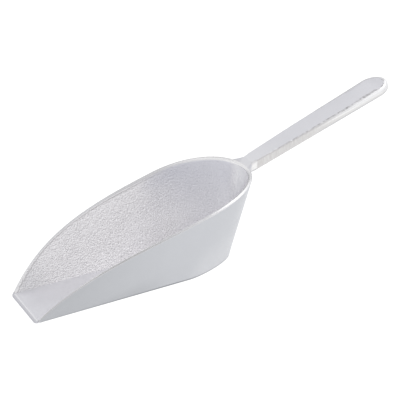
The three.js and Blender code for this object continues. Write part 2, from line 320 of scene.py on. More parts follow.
def within(at, share=1.0, **zones):
    """That share where every coordinate of at is in its zone, fading to 0 outside.

    A zone is (0 at, 1 at), in either order, or (0 until, 1 from, 1 until, 0 from).
    """
    for name, ends in zones.items():
        share = share * smooth(at[name], ends[0], ends[1])
        if len(ends) == 4:
            share = share * smooth(at[name], ends[3], ends[2])
    return share


SLOPE = np.array([1, 0, RIM_SLOPE])
RIM_FRONT = [RIM_START, RIM_RISE, RIM_WIDEST - RIM_FRONT_PULL * SLOPE, RIM_WIDEST]
RIM_BACK = [
    RIM_WIDEST,
    RIM_WIDEST + RIM_BACK_PULL * SLOPE,
    (RIM_END_X, RIM_END_PULL, RIM_HEIGHT),
    (RIM_END_X, 0, RIM_HEIGHT),
]
FOOT_FRONT = [(FOOT_START_X, FLOOR_HALF_WIDTH, 0), (FLOOR_STRAIGHT, FLOOR_HALF_WIDTH, 0)]
FOOT_BACK = [
    (FLOOR_STRAIGHT, FLOOR_HALF_WIDTH, 0),
    (FLOOR_STRAIGHT + FLOOR_SIDE_PULL, FLOOR_HALF_WIDTH, 0),
    (FLOOR_LENGTH, FLOOR_END_PULL, 0),
    (FLOOR_LENGTH, 0, 0),
]


def outward(curve, t):
    """The horizontal direction out of the bowl along a guide curve."""
    ahead = bezier(curve, np.minimum(t + TANGENT_STEP, 1))
    behind = bezier(curve, np.maximum(t - TANGENT_STEP, 0))
    along = ahead - behind
    return unit(np.stack([-along[:, 1], along[:, 0], 0 * t], axis=-1))


def floor_edge(foot, rim, t):
    """Where the wall's outer face crosses the top of the floor."""
    low = bezier(foot, t)
    high = bezier(rim, t)
    return lerp(low, high, column(FLOOR_THICKNESS / high[:, 2]))


# ---- meshes ----
def to_frame(points):
    return (np.asarray(points, float) + (LIP_X, 0, 0)) * MM


def mirrored(points):
    """The points on the other side of the scoop."""
    return points * (1, -1, 1)


def make_piece(name, points, faces, masks, slot, nodes):
    """A closed piece from points in millimetres. masks holds the named values of its points."""
    mesh = bpy.data.meshes.new(name)
    mesh.from_pydata(to_frame(points).tolist(), [], faces)
    shell = bmesh.new()
    shell.from_mesh(mesh)
    bmesh.ops.recalc_face_normals(shell, faces=shell.faces)
    shell.to_mesh(mesh)
    shell.free()
    mesh.shade_smooth()
    mesh.set_sharp_from_angle(angle=SHARP_ANGLE)
    for mask, values in masks.items():
        mesh.attributes.new(mask, "FLOAT", "POINT").data.foreach_set("value", values.reshape(-1))
    mesh.materials.append(METALS[slot])
    piece = bpy.data.objects.new(name, mesh)
    bpy.context.collection.objects.link(piece)
    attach(piece, "root")
    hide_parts(*nodes)


def weld(points, faces):
    """The same body with coinciding points joined."""
    keys = np.round(points / WELD_DISTANCE).astype(int)
    _, first, joined = np.unique(keys, axis=0, return_index=True, return_inverse=True)
    joined = joined.reshape(-1)
    kept = []
    for face in faces:
        corners = list(dict.fromkeys(joined[face].tolist()))
        if len(corners) > 2:
            kept.append(corners)
    return points[first], kept


def loft(rings):
    """Points and faces of a closed body through rings of points, with both end rings capped."""
    count, around = rings.shape[:2]
    index = np.arange(count * around).reshape(count, around)
    turned = np.roll(index, -1, axis=1)
    quads = np.stack([index[:-1], turned[:-1], turned[1:], index[1:]], axis=-1).reshape(-1, 4)
    faces = quads.tolist() + [index[0].tolist(), index[-1].tolist()]
    return rings.reshape(-1, 3), faces


def arc(start, corner, end, steps):
    """Points that round a corner, as an array of rows."""
    shares = np.linspace(0, 1, steps + 1)
    rows = [lerp(lerp(start, corner, s), lerp(corner, end, s), s) for s in shares]
    return np.stack(rows, axis=1)


def straight(start, end, steps):
    """Rows from start up to, but without, end."""
    return np.stack([lerp(start, end, i / steps) for i in range(steps)], axis=1)


# ---- bowl walls ----
def pebble(point):
    """Height of the cast grain at a point, between about -1 and 1."""
    coarse = noise.noise(Vector(point / PEBBLE_CELL))
    fine = noise.noise(Vector(point / PEBBLE_FINE_CELL + PEBBLE_FINE_OFFSET))
    return PEBBLE_COARSE_WEIGHT * coarse + PEBBLE_FINE_WEIGHT * fine


def pebbled(grid, share, side):
    """The inner face, a grid of points, with the grain raised along its normal, and the grain's height."""
    normal = np.cross(np.gradient(grid, axis=0), np.gradient(grid, axis=1))
    length = np.linalg.norm(normal, axis=-1, keepdims=True)
    normal = normal / np.maximum(length, TINY)
    height = share * np.apply_along_axis(pebble, -1, mirrored(grid) if side < 0 else grid)
    return grid + normal * column(height) * PEBBLE_HEIGHT, height


def wall_masks(rings, height, side):
    """Where a wall has each of its tones, most of them painted light and painted shade."""
    row = np.arange(rings.shape[1])[None]
    at = {
        "x": rings[:, :1, 0],
        "y": side * rings[:, OUTER_ROWS, 1][:, None],
        "down": 1 - rings[:, :, 2] / rings[:, OUTER_ROWS, 2][:, None],
        "depth": np.linalg.norm(rings - rings[:, ROWS_TO_INNER_FACE][:, None], axis=-1),
    }
    outside = row <= OUTER_ROWS
    inside = row >= ROWS_TO_INNER_FACE
    at_front = within(at, **WALL_FRONT)
    at["past_band"] = at["depth"] - lerp(*BRIGHT_BAND_WIDTH, at_front)

    middle = within(at, **BACK_MIDDLE) * (1 - within(at, **BACK_MIDDLE_LOWER))
    # Painted light at the back end of the inner face, except on the right; it also clears the darkened
    # hollows there.
    back_end = inside * middle * within(at, **BACK_END)
    # Painted light that eases the outer face's darker tint towards the back.
    lighter = np.maximum(within(at, **OUTSIDE_LIGHTER_LOW), within(at, **OUTSIDE_LIGHTER_HIGH))
    outer_shade = within(at, **OUTSIDE_SHADE) * (1 - within(at, **OUTSIDE_SHADE_EASES))
    outer_shade = np.maximum(outer_shade, within(at, **OUTSIDE_SHADE_LOW))
    inner_shade = within(at, **INSIDE_SHADE) + INSIDE_SHADE_AT_FRONT * at_front
    # Painted shade deep in the back of the bowl and just under the rim.
    easing = lerp(*DEEP_EASING, within(at, **DEEP_EASING_CHANGES))
    deep = within(at, **DEEP) * (1 - within(at, **DEEP_EASES_AT_BACK))
    deep = deep * (1 - easing * within(at, **DEEP_EASES_LOWER)) + within(at, **UNDER_RIM)
    # The grain's hollows are darkened: partly dirt in the pits, partly painted shade.
    pits = 0 * at["down"]
    pits[:, ROWS_TO_INNER_FACE:] = np.clip(PIT_LEVEL - PIT_CONTRAST * height, 0, 1)
    # Painted light: lower down the walls the darkened hollows are lightened.
    lightened_below = lerp(*PITS_LIGHTENED_BELOW, within(at, **PITS_LIGHTENED_CHANGES))
    pits_lightened = within(at, **PITS_LIGHTENED, down=(lightened_below, lightened_below + PITS_LIGHTENED_OVER))
    return {
        # The outer face is tinted darker: partly its duller cast finish, partly painted shade.
        "outside": outside * (1 - lighter),
        "front_shade": outside * outer_shade + inside * inner_shade,
        "deep": inside * deep * (1 - middle * within(at, **DEEP_EASES_IN_MIDDLE)),
        # Painted shade just under the rim at the back, except on the left.
        "shoulder": inside * within(at, **SHOULDER),
        "back_end": back_end,
        "pits": pits * (1 - pits_lightened) * (1 - back_end),
    } | rim_masks(at, at_front, row)


def rim_masks(at, at_front, row):
    """Where the rim gets painted highlights and painted shade. Its left half is painted differently from the
    right one.
    """
    inside = row >= ROWS_TO_INNER_FACE
    rim = (row > OUTER_ROWS) & ~inside
    outer_edge = rim & (row <= OUTER_ROWS + ROWS_OF_OUTER_EDGE)
    inner_edge = rim & ~outer_edge

    # Painted highlights on the rim and just under it.
    bright_back = within(at, **BRIGHT_BACK) * (1 - within(at, **BRIGHT_BACK_EASES))
    bright_back = bright_back * np.maximum(rim, inside * within(at, **BRIGHT_BACK_BELOW))
    bright_band = np.maximum(rim, inside * within(at, **BRIGHT_BAND))
    bright_front = at_front * bright_band * within(at, **BRIGHT_FRONT)
    bright_left = within(at, **BRIGHT_LEFT_BACK) * (1 - within(at, **BRIGHT_LEFT_DULLER))
    bright_left = rim * bright_left + inner_edge * within(at, **BRIGHT_LEFT_INNER)

    # Painted shade in the crease under the rim's band and along the rim's edges.
    crease = inside * within(at, **CREASE) * lerp(*CREASE_SHARES, at_front)
    dark_right = rim * (DARK_EVERYWHERE + within(at, **DARK_RIGHT)) + crease
    dark_left = outer_edge * within(at, **DARK_LEFT_OUTER)
    dark_left = dark_left * lerp(*DARK_LEFT_SHARES, within(at, **DARK_LEFT_CHANGES))
    dark_left = dark_left + inner_edge * within(at, **DARK_LEFT_INNER)
    left = within(at, **RIM_LEFT_HALF)
    return {
        "rim": rim + 0 * at["x"],
        "rim_bright": lerp(np.maximum(bright_back, bright_front), bright_left, left),
        "rim_dark": lerp(dark_right, dark_left, left),
    }


def wall_rings(foot, rim, t, thickness, inner_radius, grain, side):
    """Closed cross-sections of a wall: up the outer face, over the rim and down the inner face."""
    outer_foot = bezier(foot, t)
    outer_rim = bezier(rim, t)
    spread = np.linalg.norm((outer_rim - outer_foot)[:, :2], axis=-1)
    tilt = np.minimum(spread / outer_rim[:, 2], STEEPEST_RIM_TILT)
    above_floor = outer_rim[:, 2] - FLOOR_THICKNESS
    inner_foot = outer_foot - outward(foot, t) * WALL_THICKNESS
    inner_rim = outer_rim - outward(rim, t) * column(thickness)
    inner_rim[:, 2] += tilt * thickness * smooth(above_floor, *TILT_GROWS_AT_HEIGHTS)

    base = lerp(outer_foot, outer_rim, column(FLOOR_THICKNESS / outer_rim[:, 2]))
    sunk = (FLOOR_THICKNESS - WALL_SINK) / inner_rim[:, 2]
    inner_base = lerp(inner_foot, inner_rim, column(sunk))
    up_outer = unit(outer_rim - outer_foot)
    up_inner = unit(inner_rim - inner_foot)
    across = unit(inner_rim - outer_rim)
    room = LARGEST_RADIUS_SHARE * above_floor
    outer_radius = column(np.minimum(OUTER_RIM_RADIUS, room))
    inner_radius = column(np.minimum(inner_radius, room))

    outer_arc = arc(
        outer_rim - up_outer * outer_radius,
        outer_rim,
        outer_rim + across * outer_radius,
        ARC_ROWS,
    )
    inner_arc = arc(
        inner_rim - across * inner_radius,
        inner_rim,
        inner_rim - up_inner * inner_radius,
        ARC_ROWS,
    )
    face = straight(outer_arc[:, -1], inner_arc[:, 0], FACE_ROWS)[:, 1:]
    outer = straight(base, outer_arc[:, 0], OUTER_ROWS)
    up = np.arange(OUTER_ROWS) / OUTER_ROWS
    bulge = WALL_BULGE * 4 * up * (1 - up) * column(smooth(above_floor, *BULGE_GROWS_AT_HEIGHTS))
    outer += outward(rim, t)[:, None] * bulge[..., None]
    shares = np.linspace(0, 1, INNER_ROWS + 1)
    inner = lerp(inner_arc[:, -1][:, None], inner_base[:, None], shares[None, :, None])[:, 1:]
    from_rim = smooth(shares, 0, SMOOTH_SHARE_AT_RIM)
    from_floor = smooth(1 - shares, 0, SMOOTH_SHARE_AT_FLOOR)
    fade = np.minimum(from_rim, from_floor)[None, 1:]
    grown = grain * smooth(above_floor, *PEBBLE_GROWS_AT_HEIGHTS)
    inner, height = pebbled(inner, grown[:, None] * fade, side)
    rings = np.concatenate([outer, outer_arc, face, inner_arc, inner], axis=1)
    return rings, wall_masks(rings, height, side)


def side_wall(side):
    """The wall along the straight part of the floor: the right one for side 1, the left one for -1."""
    t = np.linspace(WALL_FIRST_T, 1, SIDE_STATIONS)
    thickness = lerp(RIM_THICKNESS_AT_FRONT, RIM_THICKNESS_AT_BACK, t * t)
    radius = lerp(INNER_RIM_RADIUS_FRONT, INNER_RIM_RADIUS_BACK, t * t)
    grain = lerp(1.0, PEBBLE_SHARE_AT_BACK, smooth(t, PEBBLE_EASES_FROM_T, 1) / 2)
    rings, masks = wall_rings(FOOT_FRONT, RIM_FRONT, t, thickness, radius, grain, side)
    return *loft(rings if side > 0 else mirrored(rings)), masks


def back_wall():
    """The wall round the back of the bowl, from its right end to its left one."""
    t = np.linspace(0, 1, BACK_STATIONS)
    thickness = np.full(len(t), RIM_THICKNESS_AT_BACK)
    radius = np.full(len(t), INNER_RIM_RADIUS_BACK)
    grain = lerp(1.0, PEBBLE_SHARE_AT_BACK, (1 + smooth(t, 0, PEBBLE_EASED_BY_T)) / 2)
    right, right_masks = wall_rings(FOOT_BACK, RIM_BACK, t, thickness, radius, grain, 1)
    left, left_masks = wall_rings(FOOT_BACK, RIM_BACK, t, thickness, radius, grain, -1)
    masks = {name: np.concatenate([right_masks[name], left_masks[name][::-1][1:]]) for name in right_masks}
    return *loft(np.concatenate([right, mirrored(left)[::-1][1:]])), masks


# ---- plates: the floor and the grip ----
def plate(spine_top, border, top, bottom, spine_bottom, out, top_radius, bottom_radius, rows):
    """Half of a plate, station by station along its outline.

    Each station runs on the top face from the spine to a border just inside the edge, then over the edge
    and back to the spine below.
    """
    top_radius = column(top_radius)
    bottom_radius = column(bottom_radius)
    down = unit(bottom - top)
    inside = top - out * top_radius
    face = straight(spine_top, border, rows)
    edge = np.concatenate([straight(border, inside, BORDER_ROWS), inside[:, None]], axis=1)
    upper = arc(inside, top, top + down * top_radius, ARC_ROWS)[:, 1:]
    lower_end = bottom - out * bottom_radius
    lower = arc(bottom - down * bottom_radius, bottom, lower_end, ARC_ROWS)
    side = straight(upper[:, -1], lower[:, 0], SIDE_ROWS)[:, 1:]
    under = straight(lower_end, spine_bottom, rows)[:, 1:]
    return np.concatenate([face, edge, upper, side, lower, under, spine_bottom[:, None]], axis=1)


def plate_faces(half, open_start):
    """Points and faces of the whole plate. open_start says that the first station is an end to cap."""
    stations, around = half.shape[:2]
    index = np.arange(stations * around).reshape(stations, around)
    a = index[:-1, :-1]
    quads = np.stack([a, index[:-1, 1:], index[1:, 1:], index[1:, :-1]], axis=-1).reshape(-1, 4)
    other = quads[:, ::-1] + stations * around
    points = np.concatenate([half.reshape(-1, 3), mirrored(half).reshape(-1, 3)])
    faces = quads.tolist() + other.tolist()
    if open_start:
        faces.append(index[0].tolist() + (index[0][::-1][1:-1] + stations * around).tolist())
    return weld(points, faces)


def floor_top_height(x):
    return np.interp(x, [0, LIP_BEVEL_START, LIP_BEVEL_END], [LIP_EDGE_THICKNESS] * 2 + [FLOOR_THICKNESS])


def floor_plate():
    """The floor, one plate from the bevelled lip to the rounded back, with the walls standing on it."""
    lip_y = np.linspace(0, 1, LIP_STATIONS)
    turn = np.linspace(0, math.pi / 2, LIP_CORNER_STATIONS)[1:]
    t = np.linspace(0, 1, SIDE_STATIONS)
    back_t = np.linspace(0, 1, BACK_STATIONS)[1:]

    inner_width = FLOOR_HALF_WIDTH - LIP_CORNER_RADIUS
    lip = np.stack([0 * lip_y, inner_width * lip_y, 0 * lip_y], axis=-1)
    corner = np.stack(
        [
            LIP_CORNER_RADIUS * (1 - np.cos(turn)),
            inner_width + LIP_CORNER_RADIUS * np.sin(turn),
            0 * turn,
        ],
        axis=-1,
    )
    bottom = np.concatenate([lip, corner, bezier(FOOT_FRONT, t), bezier(FOOT_BACK, back_t)])
    side_top = floor_edge(FOOT_FRONT, RIM_FRONT, t)
    back_top = floor_edge(FOOT_BACK, RIM_BACK, back_t)
    ahead = len(lip) + len(corner)
    flare = (RIM_START[1] - FLOOR_HALF_WIDTH) * np.concatenate([0 * lip_y, np.sin(turn) ** 2])
    lip_top = bottom[:ahead] + np.stack([0 * flare, flare, 0 * flare], axis=-1)
    lip_top[:, 2] = floor_top_height(lip_top[:, 0])
    top = np.concatenate([lip_top, side_top, back_top])

    out = np.concatenate(
        [
            np.tile([-1.0, 0, 0], (len(lip), 1)),
            np.stack([-np.cos(turn), np.sin(turn), 0 * turn], axis=-1),
            outward(FOOT_FRONT, t),
            outward(FOOT_BACK, back_t),
        ]
    )
    beside = smooth(top[:, 0], 0, RIM_START[0])
    top_radius = lerp(LIP_NOSE_RADIUS, HIDDEN_EDGE_RADIUS, beside)
    bottom_radius = lerp(LIP_NOSE_RADIUS, UNDER_EDGE_RADIUS, beside)
    walked = np.concatenate([[0], np.cumsum(np.linalg.norm(np.diff(bottom, axis=0), axis=-1))])
    spine_x = lerp(SPINE_INSET, FLOOR_LENGTH - SPINE_INSET, walked / walked[-1])
    spine = np.stack([spine_x, 0 * spine_x, 0 * spine_x], axis=-1)
    spine_top = spine + (0, 0, FLOOR_THICKNESS)
    border = top - out * BORDER_WIDTH
    border_width = inner_width - BORDER_WIDTH
    border[: len(lip), 1] = border_width * lip_y
    border[len(lip) : ahead, 1] = lerp(border_width, border[ahead, 1], np.sin(turn))
    border[:ahead, 0] = BORDER_WIDTH
    border[ahead:, 0] += (BORDER_WIDTH - RIM_START[0]) * (1 - smooth(top[ahead:, 0], *BORDER_SETTLES_X))
    half = plate(spine_top, border, top, bottom, spine, out, top_radius, bottom_radius, FLOOR_ROWS)
    upper_rows = FLOOR_ROWS + BORDER_ROWS + 1
    half[:, :upper_rows, 2] = floor_top_height(half[:, :upper_rows, 0])
    points, faces = plate_faces(half, open_start=False)
    return points, faces, floor_masks(points)


def from_lip_edge(points):
    """Distance in from the edge of the lip, round its corners too."""
    x = points[:, 0]
    into_corner = LIP_CORNER_RADIUS - np.stack([x, RIM_START[1] - np.abs(points[:, 1])], axis=-1)
    from_edge = LIP_CORNER_RADIUS - np.linalg.norm(np.maximum(into_corner, 0), axis=-1)
    from_edge = np.minimum(from_edge, np.maximum(x, LIP_CORNER_RADIUS))
    return np.where(into_corner.max(axis=-1) > 0, from_edge, x)


def floor_masks(points):
    """Where the floor's outer side is painted darker and shaded, with painted light beside the right wall and
    a painted highlight line and painted shade at the lip.
    """
    at = {
        "x": points[:, 0],
        "y": points[:, 1],
        "z": points[:, 2],
        "edge": from_lip_edge(points),
    }
    near_lip = within(at, **LIP_ZONE)
    # Painted shade on the outer side below the floor's top, eased towards the back.
    outside = (1 - near_lip) * within(at, **FLOOR_BELOW_TOP) * (1 - within(at, **FLOOR_OUTSIDE_EASES))
    # Painted light on the floor beside the right wall, near the lip.
    wall_side = within(at, **WALL_SIDE) * (1 - within(at, **WALL_SIDE_EASES))
    return {
        "outside": outside,
        "front_shade": outside * within(at, **FLOOR_SHADE),
        "wall_side": (1 - outside) * wall_side,
        # A painted highlight line along the lip's bevel, and painted shade on its rounded front.
        "lip_line": near_lip * within(at, **LIP_LINE),
        "lip_front": near_lip * within(at, **LIP_FRONT) * (1 - within(at, **LIP_FRONT_EASES)),
    }


# ---- handle ----
ALONG = np.array([math.cos(HANDLE_RISE), 0, math.sin(HANDLE_RISE)])
UP = np.array([-math.sin(HANDLE_RISE), 0, math.cos(HANDLE_RISE)])
WIDEST_S = HANDLE_LENGTH - HANDLE_TIP_LENGTH


def from_handle(local):
    """Points given as distance along the handle, y and height over its top face, in the scoop's frame."""
    return (
        np.array(HANDLE_START)
        + local[..., 0:1] * ALONG
        + local[..., 1:2] * (0, 1, 0)
        + local[..., 2:3] * UP
    )


def to_handle(points):
    """The same points as from_handle() takes them."""
    away = points - HANDLE_START
    return np.stack([away @ ALONG, points[:, 1], away @ UP], axis=-1)


def handle_half_width(s):
    grown = np.clip(s / WIDEST_S, 0, 1)
    past = np.clip((s - WIDEST_S) / HANDLE_TIP_LENGTH, 0, 1)
    return lerp(HANDLE_HALF_WIDTH_AT_NECK, HANDLE_HALF_WIDTH_AT_TIP, grown) * np.sqrt(1 - past**2)


def handle_thickness(s):
    return lerp(HANDLE_THICKNESS_AT_NECK, HANDLE_THICKNESS_AT_TIP, s / HANDLE_LENGTH)


def top_edge_radius(s):
    """The handle's upper edge: full near the bowl, ground small, then rounder towards the tip."""
    grown = smooth(s / HANDLE_LENGTH, *TOP_EDGE_GROWS)
    ground = lerp(TOP_EDGE_RADIUS_AT_NECK, TOP_EDGE_RADIUS_AT_TIP, grown)
    return lerp(NECK_EDGE_RADIUS, ground, smooth(s, *GRINDING_STARTS))


def outside_outline(s, y):
    """Signed distance from the handle's outline in plan, negative inside it."""
    beside = np.abs(y) - handle_half_width(s)
    along = np.maximum(s - WIDEST_S, 0)
    ring = np.hypot(along / HANDLE_TIP_LENGTH, y / HANDLE_HALF_WIDTH_AT_TIP)
    at_tip = (ring - 1) * np.hypot(along, y) / np.maximum(ring, TINY)
    return np.where(s > WIDEST_S, at_tip, beside)


def handle_half(s_side, turn):
    """Half of the handle as a plate, from the stations along its side and the angles round its tip."""
    s = np.concatenate([s_side, WIDEST_S + HANDLE_TIP_LENGTH * np.sin(turn)])
    y = np.concatenate([handle_half_width(s_side), HANDLE_HALF_WIDTH_AT_TIP * np.cos(turn)])
    taper = (HANDLE_HALF_WIDTH_AT_TIP - HANDLE_HALF_WIDTH_AT_NECK) / WIDEST_S
    out_side = np.tile(unit(np.array([-taper, 1.0, 0])), (len(s_side), 1))
    out_tip = unit(
        np.stack(
            [
                HANDLE_HALF_WIDTH_AT_TIP * np.sin(turn),
                HANDLE_TIP_LENGTH * np.cos(turn),
                0 * turn,
            ],
            axis=-1,
        )
    )
    out = np.concatenate([out_side, out_tip])
    thickness = handle_thickness(s)
    top_radius = top_edge_radius(s)
    bottom_radius = lerp(LOWER_EDGE_RADIUS_AT_NECK, LOWER_EDGE_RADIUS_AT_TIP, s / HANDLE_LENGTH)
    top = np.stack([s, y, 0 * s], axis=-1)
    bottom = np.stack([s, y, -thickness], axis=-1)
    spine_s = np.concatenate([s_side, WIDEST_S + HANDLE_TIP_LENGTH / 2 * np.sin(turn)])
    spine_top = np.stack([spine_s, 0 * s, 0 * s], axis=-1)
    spine_bottom = np.stack([spine_s, 0 * s, -thickness], axis=-1)
    border = top - out * (column(top_radius) + HANDLE_BORDER_WIDTH)
    return plate(spine_top, border, top, bottom, spine_bottom, out, top_radius, bottom_radius, GRIP_ROWS)


def grind_bite(s, y):
    """How deep the grinding cut into the upper edge, which is a different cut on each side."""
    bites = [noise.noise(Vector((a / GRIND_PITCH, GRIND_ROW_OFFSET * np.sign(b), 0.5))) for a, b in zip(s, y)]
    return np.clip(0.5 + GRIND_CONTRAST * np.array(bites), 0, GRIND_DEEPEST)


def grip_plate():
    """The handle past the neck, with the marks of grinding along its upper edge."""
    s_side = np.linspace(NECK_LENGTH, WIDEST_S, GRIP_STATIONS)
    turn = np.linspace(0, math.pi / 2, TIP_STATIONS)[1:]
    half = handle_half(s_side, turn)
    points, faces = plate_faces(half, open_start=True)
    s, y, up = points.T
    at = {"s": s, "up": up, "beside": np.abs(y) - handle_half_width(s)}
    reach = within(at, share=GRIND_SCALLOP, beside=GRIND_EDGE, up=GRIND_EDGE, s=GRIND_ALONG)
    points[:, 2] -= reach * np.where(y > 0, GRIND_ON_RIGHT_SIDE, 1.0) * grind_bite(s, y)
    points = from_handle(points)
    return points, faces, handle_masks(points)


def handle_masks(points):
    """Where the handle has each of its tones, most of them painted light and painted shade."""
    s, y, up = to_handle(points).T
    at = {
        "s": s,
        "y": y,
        "up": up,
        "x": points[:, 0],
        "above": up + handle_thickness(s),
        "outside": outside_outline(s, y) + top_edge_radius(s),
    }
    side = within(at, **HANDLE_SIDE)
    past_facet = within(at, **FACET_ENDS)
    # The turned-over upper edge is polished and carries a painted highlight.
    polished = within(at, **POLISH_AND_HIGHLIGHT) * (1 - within(at, **POLISH_AND_HIGHLIGHT_EASES_RIGHT))
    turned_over = within(at, **TURNED_OVER) * (1 - within(at, **TURNED_OVER_EASES))
    low_along = np.maximum(within(at, **LOW_EDGE_ALONG), 1 - past_facet)

    start = lerp(*EDGE_LINE_STARTS, within(at, **EDGE_LINE_WIDENS))
    end = lerp(*EDGE_LINE_ENDS, within(at, **EDGE_LINE_GROWS))
    fade_in, fade_out = EDGE_LINE_FADES
    line = within(at, outside=(start, start + fade_in, end, end + fade_out), **EDGE_LINE_ABOVE)
    line = line * np.where(y < 0, 1.0, EDGE_LINE_ON_RIGHT)
    return {
        # Painted light on the neck near the bowl, away from its side faces.
        "root": (1 - side) * (1 - within(at, **ROOT_EASES) - within(at, **ROOT_ENDS)),
        # Painted shade on the handle, growing towards the tip.
        "worn_tip": within(at, **TIP_SHADE_ALONG) + within(at, **TIP_SHADE_AT_TIP),
        "side": side * past_facet,
        "ground": side * past_facet * within(at, **GROUND),
        # Polished upper edge with a painted highlight.
        "polished": side * turned_over * polished,
        # Painted highlight on the neck's side face next to the bowl.
        "facet": side * (1 - past_facet) * within(at, **FACET_STARTS),
        # Painted shade on the handle's lower edge.
        "low_edge": side * low_along * within(at, **LOW_EDGE),
        # Painted shade along the upper edge towards the tip.
        "soft_edge": line * within(at, **SOFT_EDGE),
        "broken_edge": line * within(at, **BROKEN_EDGE) * (1 - within(at, **BROKEN_EDGE_EASES)),
    }


def neck_root(end):
    """Where the handle's first section meets the bowl, how it arrives there, and how it sinks in."""
    sideways = np.abs(end[:, 1]) / HANDLE_HALF_WIDTH_AT_NECK
    drop = np.clip(end[:, 2] / end[:, 2].min(), 0, 1)
    at_rim = np.where(end[:, 1] < 0, NECK_ROOT_LEFT, NECK_ROOT_RIGHT)
    reach = lerp(at_rim, NECK_ROOT_BELOW, smooth(drop, *NECK_ROOT_NARROWS))
    t = np.linspace(0, 1, RIM_SAMPLES)
    rim = bezier(RIM_BACK, t)
    at = np.interp(sideways * reach, rim[::-1, 1], t[::-1])
    wall_out = outward(RIM_BACK, at)
    on_top = smooth(drop, *NECK_TOP_DROP)
    depth = lerp(OUTER_RIM_RADIUS, NECK_ROOT_DEPTH, drop) * (1 - on_top)
    root = lerp(bezier(RIM_BACK, at), bezier(FOOT_BACK, at), column(depth / RIM_HEIGHT))
    root -= wall_out * column(NECK_OVER_RIM * on_top)
    root[:, 2] += NECK_OVER_RIM * RIM_FACE_TILT * on_top

    along_wall = np.stack([-wall_out[:, 1], wall_out[:, 0], 0 * at], axis=-1)
    beside = smooth(sideways, *NECK_BESIDE)
    below = smooth(drop, *NECK_UNDER_DROP) * (1 - beside)
    above = on_top * (1 - beside)
    arrive = (
        along_wall * column(beside * NECK_SIDE_PULL)
        + np.array([0, 0, -1.0]) * column(below * NECK_UNDER_PULL)
        + (np.array([0, 0, -NECK_TOP_SLOPE]) - wall_out) * column(above * NECK_TOP_PULL)
        - wall_out
    )
    sink = np.where(column(on_top) > 0.5, np.array([0, 0, -NECK_SINK]), -wall_out * NECK_SINK)
    for vectors in (root, arrive, sink):
        vectors[:, 1] *= np.where(end[:, 1] < 0, -1.0, 1.0)
    return root, arrive, sink


def neck_body():
    """The neck: the handle's section carried on, then blended out to a root on the back wall and rim."""
    halves = handle_half(np.linspace(NECK_LENGTH, 0, NECK_STATIONS), np.array([]))
    sections = np.concatenate([halves, mirrored(halves)[:, ::-1][:, 1:-1]], axis=1)
    root, arrive, sink = neck_root(sections[-1])
    start = from_handle(sections[-1])
    leave = -ALONG * NECK_LEAVE_PULL
    rings = list(from_handle(sections[:-1]))
    for u in np.linspace(0, 1, BLEND_STATIONS):
        bend_start = u * (1 - u) ** 2
        bend_end = u * u * (u - 1)
        rings.append(lerp(start, root, smooth(u, 0, 1)) + bend_start * leave + bend_end * arrive)
    rings.append(root + sink)
    points, faces = loft(np.stack(rings))

    # The end that sinks into the wall is bent, so it is capped with strips instead of one face.
    last = faces.pop()
    across = halves.shape[1]
    for flip in (1, -1):
        for i in range(across // 2):
            corners = [last[flip * k % len(last)] for k in (i, i + 1, across - 2 - i, across - 1 - i)]
            if len(set(corners)) > 2:
                faces.append(list(dict.fromkeys(corners)))
    return points, faces, handle_masks(points)


# ---- materials ----
TINT_BLOTCH = 22
TINT_DETAIL = 4
TINT_CUT = (0.35, 0.65)
TINT_SPREAD = 0.015
GLOSS_BLOTCH = 9
GLOSS_DETAIL = 3
GLOSS_CUT = (0.3, 0.7)
GLOSS_SPREAD = 0.02
GRAIN_DETAIL = 2
GRAIN_CUT = (0.25, 0.75)
BRUSHED_CUT = (0.3, 0.7)
BRUSHED_GLOSS = 0.05
BLOTCH_ROUGHNESS = 0.55


